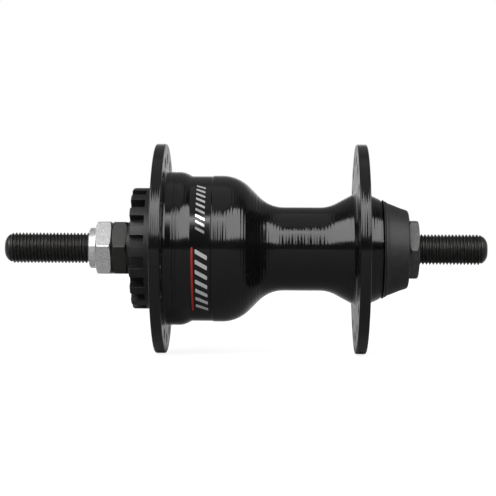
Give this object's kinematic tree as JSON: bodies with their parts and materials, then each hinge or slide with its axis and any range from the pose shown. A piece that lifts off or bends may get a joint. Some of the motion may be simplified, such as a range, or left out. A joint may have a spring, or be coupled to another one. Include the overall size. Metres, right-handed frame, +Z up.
{
  "type": "bicycle front hub for a roller brake",
  "caption": "Black two-flange bicycle front hub with a wide brake-side drum, slotted brake ring, threaded axle, locknuts, cup and cone bearings, and a slip clutch inside.",
  "frame": {"origin": "middle of the axle's length, on its centre line", "axes": "+X along the axle, away from the brake side; +Z up through a spoke hole of the left flange"},
  "size_m": [0.14, 0.0608, 0.0608],
  "materials": {
    "gloss_black_shell": "gloss",
    "black_ring_steel": "satin",
    "black_nut_steel": "satin",
    "axle_steel": "satin",
    "zinc_steel": "satin",
    "dark_nut_steel": "satin",
    "ground_steel": "polished",
    "ball_steel": "polished",
    "retainer_steel": "satin",
    "plate_steel": "satin",
    "lined_plate_steel": "matte",
    "spring_steel": "satin",
    "bush_bronze": "satin",
    "boot_rubber": "matte",
    "seal_rubber": "satin"
  },
  "bodies": {
    "axle_assembly": {"axle": "axle_steel", "left_locknut": "zinc_steel", "left_cone": "black_nut_steel", "left_dust_cap": "seal_rubber", "right_cone": "ground_steel", "right_lock_washer": "ground_steel", "right_locknut": "dark_nut_steel", "right_dust_cover": "boot_rubber", "right_seal_ring": "seal_rubber"},
    "shell": {"hub_shell": "gloss_black_shell", "left_bearing_cup": "ground_steel", "right_bearing_cup": "ground_steel", "outer_clutch_plates": "plate_steel", "clutch_pressure_plate": "plate_steel", "clutch_disc_springs": "spring_steel", "clutch_cover": "black_ring_steel", "clutch_retaining_ring": "spring_steel", "clutch_seal_ring": "seal_rubber"},
    "brake_drive": {"brake_ring": "black_ring_steel", "drive_bush": "bush_bronze", "inner_clutch_plates": "lined_plate_steel"},
    "left_cage": {"left_ball_retainer": "retainer_steel", "left_balls": "ball_steel"},
    "right_cage": {"right_ball_retainer": "retainer_steel", "right_balls": "ball_steel"}
  },
  "joints": [
    {"name": "hub_spin", "type": "hinge", "parent": "axle_assembly", "child": "shell", "pos_m": [0, 0, 0], "axis": [1, 0, 0], "continuous": true},
    {"name": "clutch_slip", "type": "hinge", "parent": "shell", "child": "brake_drive", "pos_m": [-0.02, 0, 0], "axis": [1, 0, 0], "continuous": true},
    {"name": "left_cage_spin", "type": "hinge", "parent": "axle_assembly", "child": "left_cage", "pos_m": [-0.0235, 0, 0], "axis": [1, 0, 0], "continuous": true},
    {"name": "right_cage_spin", "type": "hinge", "parent": "axle_assembly", "child": "right_cage", "pos_m": [0.0361, 0, 0], "axis": [1, 0, 0], "continuous": true}
  ],
  "couplings": [
    {"joint": "left_cage_spin", "follows": "hub_spin", "ratio": 0.6},
    {"joint": "right_cage_spin", "follows": "hub_spin", "ratio": 0.6}
  ]
}
